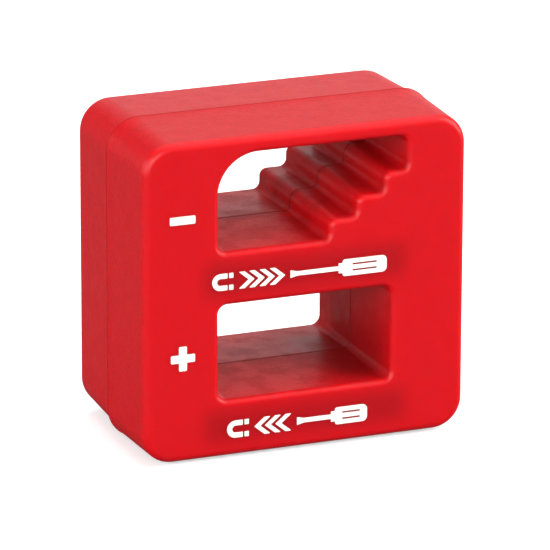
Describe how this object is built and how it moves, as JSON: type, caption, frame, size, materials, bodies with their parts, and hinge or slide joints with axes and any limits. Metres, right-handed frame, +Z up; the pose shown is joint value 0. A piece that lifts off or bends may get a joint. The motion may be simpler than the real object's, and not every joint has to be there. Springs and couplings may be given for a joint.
{
  "type": "screwdriver magnetizer and demagnetizer block",
  "caption": "Pocket block of moulded plastic with a plain tunnel that magnetizes a tool tip and a stepped tunnel that demagnetizes it.",
  "frame": {"origin": "middle of the underside, on the plane where the two casing halves meet", "axes": "+X to the right seen from the printed face, +Y from the printed face to the rear face, +Z up"},
  "size_m": [0.052, 0.0291, 0.05],
  "materials": {
    "casing": "fine spark-eroded texture on the sides, satin on the two faces",
    "ferrite": "ground sintered ferrite",
    "keeper_steel": "cold-rolled, zinc plated",
    "foam": "closed-cell foam",
    "print": "white pad printing"
  },
  "bodies": {
    "root": {"front_shell": "casing", "rear_shell": "casing", "middle_magnet": "ferrite", "lower_magnet": "ferrite", "keeper_plate": "keeper_steel", "middle_magnet_pad": "foam", "lower_magnet_pad": "foam", "plus_mark": "print", "minus_mark": "print", "demagnetize_pictogram": "print", "magnetize_pictogram": "print"}
  },
  "joints": []
}
